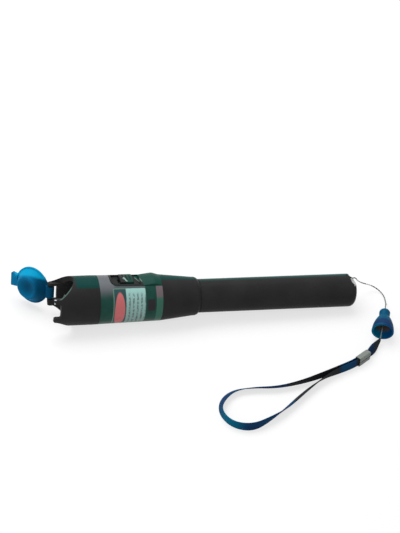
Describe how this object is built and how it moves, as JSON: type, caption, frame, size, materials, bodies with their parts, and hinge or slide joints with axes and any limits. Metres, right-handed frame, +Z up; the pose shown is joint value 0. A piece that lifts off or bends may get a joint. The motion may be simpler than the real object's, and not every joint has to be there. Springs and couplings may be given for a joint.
{
  "type": "visual fault locator",
  "caption": "Black pen-shaped fibre tester with a horned nose, hinged blue dust cap, slide switch, pull-off tail tube and a wrist strap.",
  "frame": {"origin": "on the floor under the middle of the pen's own bounding box, without the strap", "axes": "+X from the nose towards the tail along the floor, +Z up, +Y to the side of the open dust cap"},
  "size_m": [0.2057, 0.1296, 0.0267],
  "materials": {
    "body_black": "fine satin, near black",
    "label_green": "printed film under a clear coat",
    "cap_blue": "soft satin rubber",
    "tube_black": "satin black coat over drawn metal",
    "dark_plastic": "satin",
    "nickel": "turned and nickel plated",
    "zirconia": "fired ceramic, polished",
    "brass_turned": "turned",
    "clear_glass": "polished",
    "steel": "pressed or drawn",
    "board_green": "solder resist",
    "chip_black": "moulded",
    "cell_jacket": "plain film jacket",
    "seal_rubber": "dull",
    "strap_fabric": "woven tape",
    "tab_fabric": "woven tape, folded and stitched",
    "string_fabric": "braided string",
    "bell_blue": "moulded, satin"
  },
  "bodies": {
    "pen": {"head_shell": "body_black", "wrap_label": "label_green", "switch_bezel": "dark_plastic", "switch_can": "steel", "switch_base": "chip_black", "nose_plate": "dark_plastic", "ferrule_adapter": "nickel", "ferrule_sleeve": "zirconia", "adapter_nut": "nickel", "laser_housing": "brass_turned", "lens_cell": "brass_turned", "focusing_lens": "clear_glass", "diode_holder": "brass_turned", "laser_diode": "steel", "circuit_board": "board_green", "driver_chip": "chip_black", "chip_resistors": "chip_black", "power_coil": "chip_black", "contact_carrier": "dark_plastic", "front_contact": "nickel", "threaded_collar": "nickel", "seal_ring": "seal_rubber"},
    "tail": {"tail_tube": "tube_black", "tail_spring": "steel", "battery_cell_front": "cell_jacket", "battery_cell_rear": "cell_jacket", "strap_string": "string_fabric", "strap_bell": "bell_blue", "strap_ribbon": "strap_fabric", "strap_tab": "tab_fabric", "ribbon_crimp": "steel"},
    "switch": {"power_knob": "dark_plastic", "switch_lever": "dark_plastic"},
    "cap": {"dust_cap": "cap_blue"}
  },
  "joints": [
    {"name": "tail_pull", "type": "slide", "parent": "pen", "child": "tail", "axis": [0.9995, 0, -0.0311], "range_m": [0, 0.035]},
    {"name": "switch_slide", "type": "slide", "parent": "pen", "child": "switch", "axis": [0.9995, 0, -0.0311], "range_m": [-0.0025, 0.0025]},
    {"name": "cap_hinge", "type": "hinge", "parent": "pen", "child": "cap", "pos_m": [-0.07371, 0.00291, 0.01231], "axis": [0.0307, 0.1478, 0.9885], "range_deg": [-25, 135]}
  ]
}
